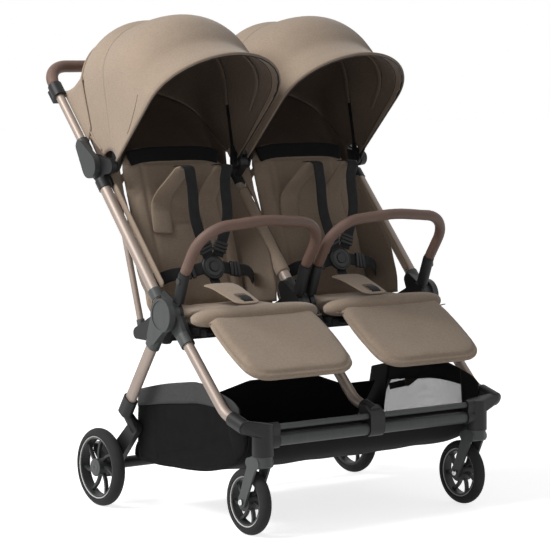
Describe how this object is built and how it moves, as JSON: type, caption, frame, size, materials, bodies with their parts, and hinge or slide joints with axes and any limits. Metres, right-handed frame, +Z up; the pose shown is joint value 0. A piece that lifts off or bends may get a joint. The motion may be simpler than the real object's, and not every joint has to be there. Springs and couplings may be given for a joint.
{
  "type": "side by side double stroller",
  "caption": "Side by side folding stroller: canopied seats with bumper bars and leg rests on a champagne tube frame with caster front wheels and an under-seat basket.",
  "frame": {"origin": "on the floor, midway between the sides and midway between the front castings and the grip", "axes": "+Z up, -Y towards the front where the children face, +X towards the seat on the right of the picture"},
  "size_m": [0.763, 0.7946, 1.114],
  "materials": {
    "champagne_tube": "satin champagne anodised",
    "grey_plastic": "fine texture",
    "black_plastic": "fine texture",
    "button": "smooth",
    "rim": "fine texture",
    "tyre": "smooth foam rubber",
    "taupe_fabric": "woven melange",
    "basket_cloth": "plain weave",
    "webbing": "ribbed webbing",
    "leatherette": "fine grain"
  },
  "bodies": {
    "chassis": {"main_tubes": "champagne_tube", "front_legs": "champagne_tube", "side_hubs": "grey_plastic", "middle_hub": "black_plastic", "hinge_bases": "grey_plastic", "canopy_post": "black_plastic", "front_castings": "black_plastic", "front_crossbar": "grey_plastic", "seat_crossbars": "black_plastic", "seat_boards": "black_plastic", "seat_pads": "taupe_fabric", "side_sleeves": "taupe_fabric", "basket": "basket_cloth", "canopy_rear_panels": "taupe_fabric", "harness": "webbing"},
    "rear_frame": {"rear_legs": "champagne_tube", "rear_leg_joints": "grey_plastic", "rear_beam": "black_plastic", "rear_brackets": "black_plastic"},
    "brake": {"brake_pedal": "button"},
    "handle": {"handle_tube": "champagne_tube", "handle_grip": "leatherette", "handle_hinges": "grey_plastic", "handle_collars": "black_plastic"},
    "fold_trigger_left": {"fold_trigger_left": "button"},
    "rear_wheel_left": {"rear_tyre_left": "tyre", "rear_rim_left": "rim"},
    "caster_left": {"caster_fork_left": "grey_plastic"},
    "front_wheel_left": {"front_tyre_left": "tyre", "front_rim_left": "rim"},
    "backrest_left": {"backrest_frame_left": "champagne_tube", "backrest_pad_left": "taupe_fabric", "shoulder_pads_left": "taupe_fabric"},
    "legrest_left": {"legrest_left": "taupe_fabric"},
    "canopy_mid_left": {"canopy_mid_bow_left": "black_plastic", "canopy_crown_left": "taupe_fabric"},
    "canopy_front_left": {"canopy_front_bow_left": "black_plastic", "canopy_visor_left": "taupe_fabric"},
    "bumper_left": {"bumper_bar_left": "leatherette", "bumper_feet_left": "black_plastic"},
    "bumper_button_left": {"bumper_button_left": "button"},
    "buckle_button_left": {"buckle_button_left": "button"},
    "fold_trigger_right": {"fold_trigger_right": "button"},
    "rear_wheel_right": {"rear_tyre_right": "tyre", "rear_rim_right": "rim"},
    "caster_right": {"caster_fork_right": "grey_plastic"},
    "front_wheel_right": {"front_tyre_right": "tyre", "front_rim_right": "rim"},
    "backrest_right": {"backrest_frame_right": "champagne_tube", "backrest_pad_right": "taupe_fabric", "shoulder_pads_right": "taupe_fabric"},
    "legrest_right": {"legrest_right": "taupe_fabric"},
    "canopy_mid_right": {"canopy_mid_bow_right": "black_plastic", "canopy_crown_right": "taupe_fabric"},
    "canopy_front_right": {"canopy_front_bow_right": "black_plastic", "canopy_visor_right": "taupe_fabric"},
    "bumper_right": {"bumper_bar_right": "leatherette", "bumper_feet_right": "black_plastic"},
    "bumper_button_right": {"bumper_button_right": "button"},
    "buckle_button_right": {"buckle_button_right": "button"}
  },
  "joints": [
    {"name": "leg_fold", "type": "hinge", "parent": "chassis", "child": "rear_frame", "pos_m": [0, -0.11038, 0.458], "axis": [1, 0, 0], "range_deg": [-40, 0], "deforming": ["basket"]},
    {"name": "handle_fold", "type": "hinge", "parent": "chassis", "child": "handle", "pos_m": [0, 0.174, 0.77384], "axis": [1, 0, 0], "range_deg": [-128, 0]},
    {"name": "brake_pedal", "type": "hinge", "parent": "rear_frame", "child": "brake", "pos_m": [-0.318, 0.20662, 0.123], "axis": [-1, 0, 0], "range_deg": [0, 25]},
    {"name": "fold_trigger_left", "type": "slide", "parent": "handle", "child": "fold_trigger_left", "axis": [0, 0.682, 0.7314], "range_m": [0, 0.006], "stiffness_N_per_m": 300, "springref_m": -0.002},
    {"name": "rear_wheel_left", "type": "hinge", "parent": "rear_frame", "child": "rear_wheel_left", "pos_m": [-0.365, 0.16062, 0.089], "axis": [1, 0, 0], "continuous": true},
    {"name": "caster_swivel_left", "type": "hinge", "parent": "chassis", "child": "caster_left", "pos_m": [-0.3, -0.37438, 0.2], "axis": [0, 0, 1], "continuous": true},
    {"name": "front_wheel_left", "type": "hinge", "parent": "caster_left", "child": "front_wheel_left", "pos_m": [-0.3, -0.32438, 0.0725], "axis": [1, 0, 0], "continuous": true},
    {"name": "recline_left", "type": "hinge", "parent": "chassis", "child": "backrest_left", "pos_m": [-0.181, 0.03662, 0.405], "axis": [-1, 0, 0], "range_deg": [0, 35]},
    {"name": "legrest_left", "type": "hinge", "parent": "chassis", "child": "legrest_left", "pos_m": [-0.181, -0.19038, 0.4216], "axis": [-1, 0, 0], "range_deg": [-40, 25]},
    {"name": "canopy_left", "type": "hinge", "parent": "chassis", "child": "canopy_mid_left", "pos_m": [-0.181, 0.117, 0.77484], "axis": [-1, 0, 0], "range_deg": [0, 26], "deforming": ["canopy_rear_panels"]},
    {"name": "canopy_rim_left", "type": "hinge", "parent": "canopy_mid_left", "child": "canopy_front_left", "pos_m": [-0.181, 0.117, 0.77484], "axis": [-1, 0, 0], "range_deg": [0, 34], "deforming": ["canopy_crown_left"]},
    {"name": "bumper_lift_left", "type": "slide", "parent": "chassis", "child": "bumper_left", "axis": [0, -0.3584, 0.9336], "range_m": [0, 0.06]},
    {"name": "bumper_button_left", "type": "slide", "parent": "bumper_left", "child": "bumper_button_left", "axis": [1, 0, 0], "range_m": [0, 0.0025], "stiffness_N_per_m": 400, "springref_m": -0.001},
    {"name": "buckle_button_left", "type": "slide", "parent": "chassis", "child": "buckle_button_left", "axis": [0, 0.9397, -0.342], "range_m": [0, 0.003], "stiffness_N_per_m": 400, "springref_m": -0.001},
    {"name": "fold_trigger_right", "type": "slide", "parent": "handle", "child": "fold_trigger_right", "axis": [0, 0.682, 0.7314], "range_m": [0, 0.006], "stiffness_N_per_m": 300, "springref_m": -0.002},
    {"name": "rear_wheel_right", "type": "hinge", "parent": "rear_frame", "child": "rear_wheel_right", "pos_m": [0.365, 0.16062, 0.089], "axis": [1, 0, 0], "continuous": true},
    {"name": "caster_swivel_right", "type": "hinge", "parent": "chassis", "child": "caster_right", "pos_m": [0.3, -0.37438, 0.2], "axis": [0, 0, 1], "continuous": true},
    {"name": "front_wheel_right", "type": "hinge", "parent": "caster_right", "child": "front_wheel_right", "pos_m": [0.3, -0.32438, 0.0725], "axis": [1, 0, 0], "continuous": true},
    {"name": "recline_right", "type": "hinge", "parent": "chassis", "child": "backrest_right", "pos_m": [0.181, 0.03662, 0.405], "axis": [-1, 0, 0], "range_deg": [0, 35]},
    {"name": "legrest_right", "type": "hinge", "parent": "chassis", "child": "legrest_right", "pos_m": [0.181, -0.19038, 0.4216], "axis": [-1, 0, 0], "range_deg": [-40, 25]},
    {"name": "canopy_right", "type": "hinge", "parent": "chassis", "child": "canopy_mid_right", "pos_m": [0.181, 0.117, 0.77484], "axis": [-1, 0, 0], "range_deg": [0, 26], "deforming": ["canopy_rear_panels"]},
    {"name": "canopy_rim_right", "type": "hinge", "parent": "canopy_mid_right", "child": "canopy_front_right", "pos_m": [0.181, 0.117, 0.77484], "axis": [-1, 0, 0], "range_deg": [0, 34], "deforming": ["canopy_crown_right"]},
    {"name": "bumper_lift_right", "type": "slide", "parent": "chassis", "child": "bumper_right", "axis": [0, -0.3584, 0.9336], "range_m": [0, 0.06]},
    {"name": "bumper_button_right", "type": "slide", "parent": "bumper_right", "child": "bumper_button_right", "axis": [-1, 0, 0], "range_m": [0, 0.0025], "stiffness_N_per_m": 400, "springref_m": -0.001},
    {"name": "buckle_button_right", "type": "slide", "parent": "chassis", "child": "buckle_button_right", "axis": [0, 0.9397, -0.342], "range_m": [0, 0.003], "stiffness_N_per_m": 400, "springref_m": -0.001}
  ],
  "couplings": [
    {"joint": "handle_fold", "follows": "leg_fold", "ratio": 3.2},
    {"joint": "canopy_rim_left", "follows": "canopy_left", "ratio": 1.3077},
    {"joint": "canopy_rim_right", "follows": "canopy_right", "ratio": 1.3077}
  ]
}
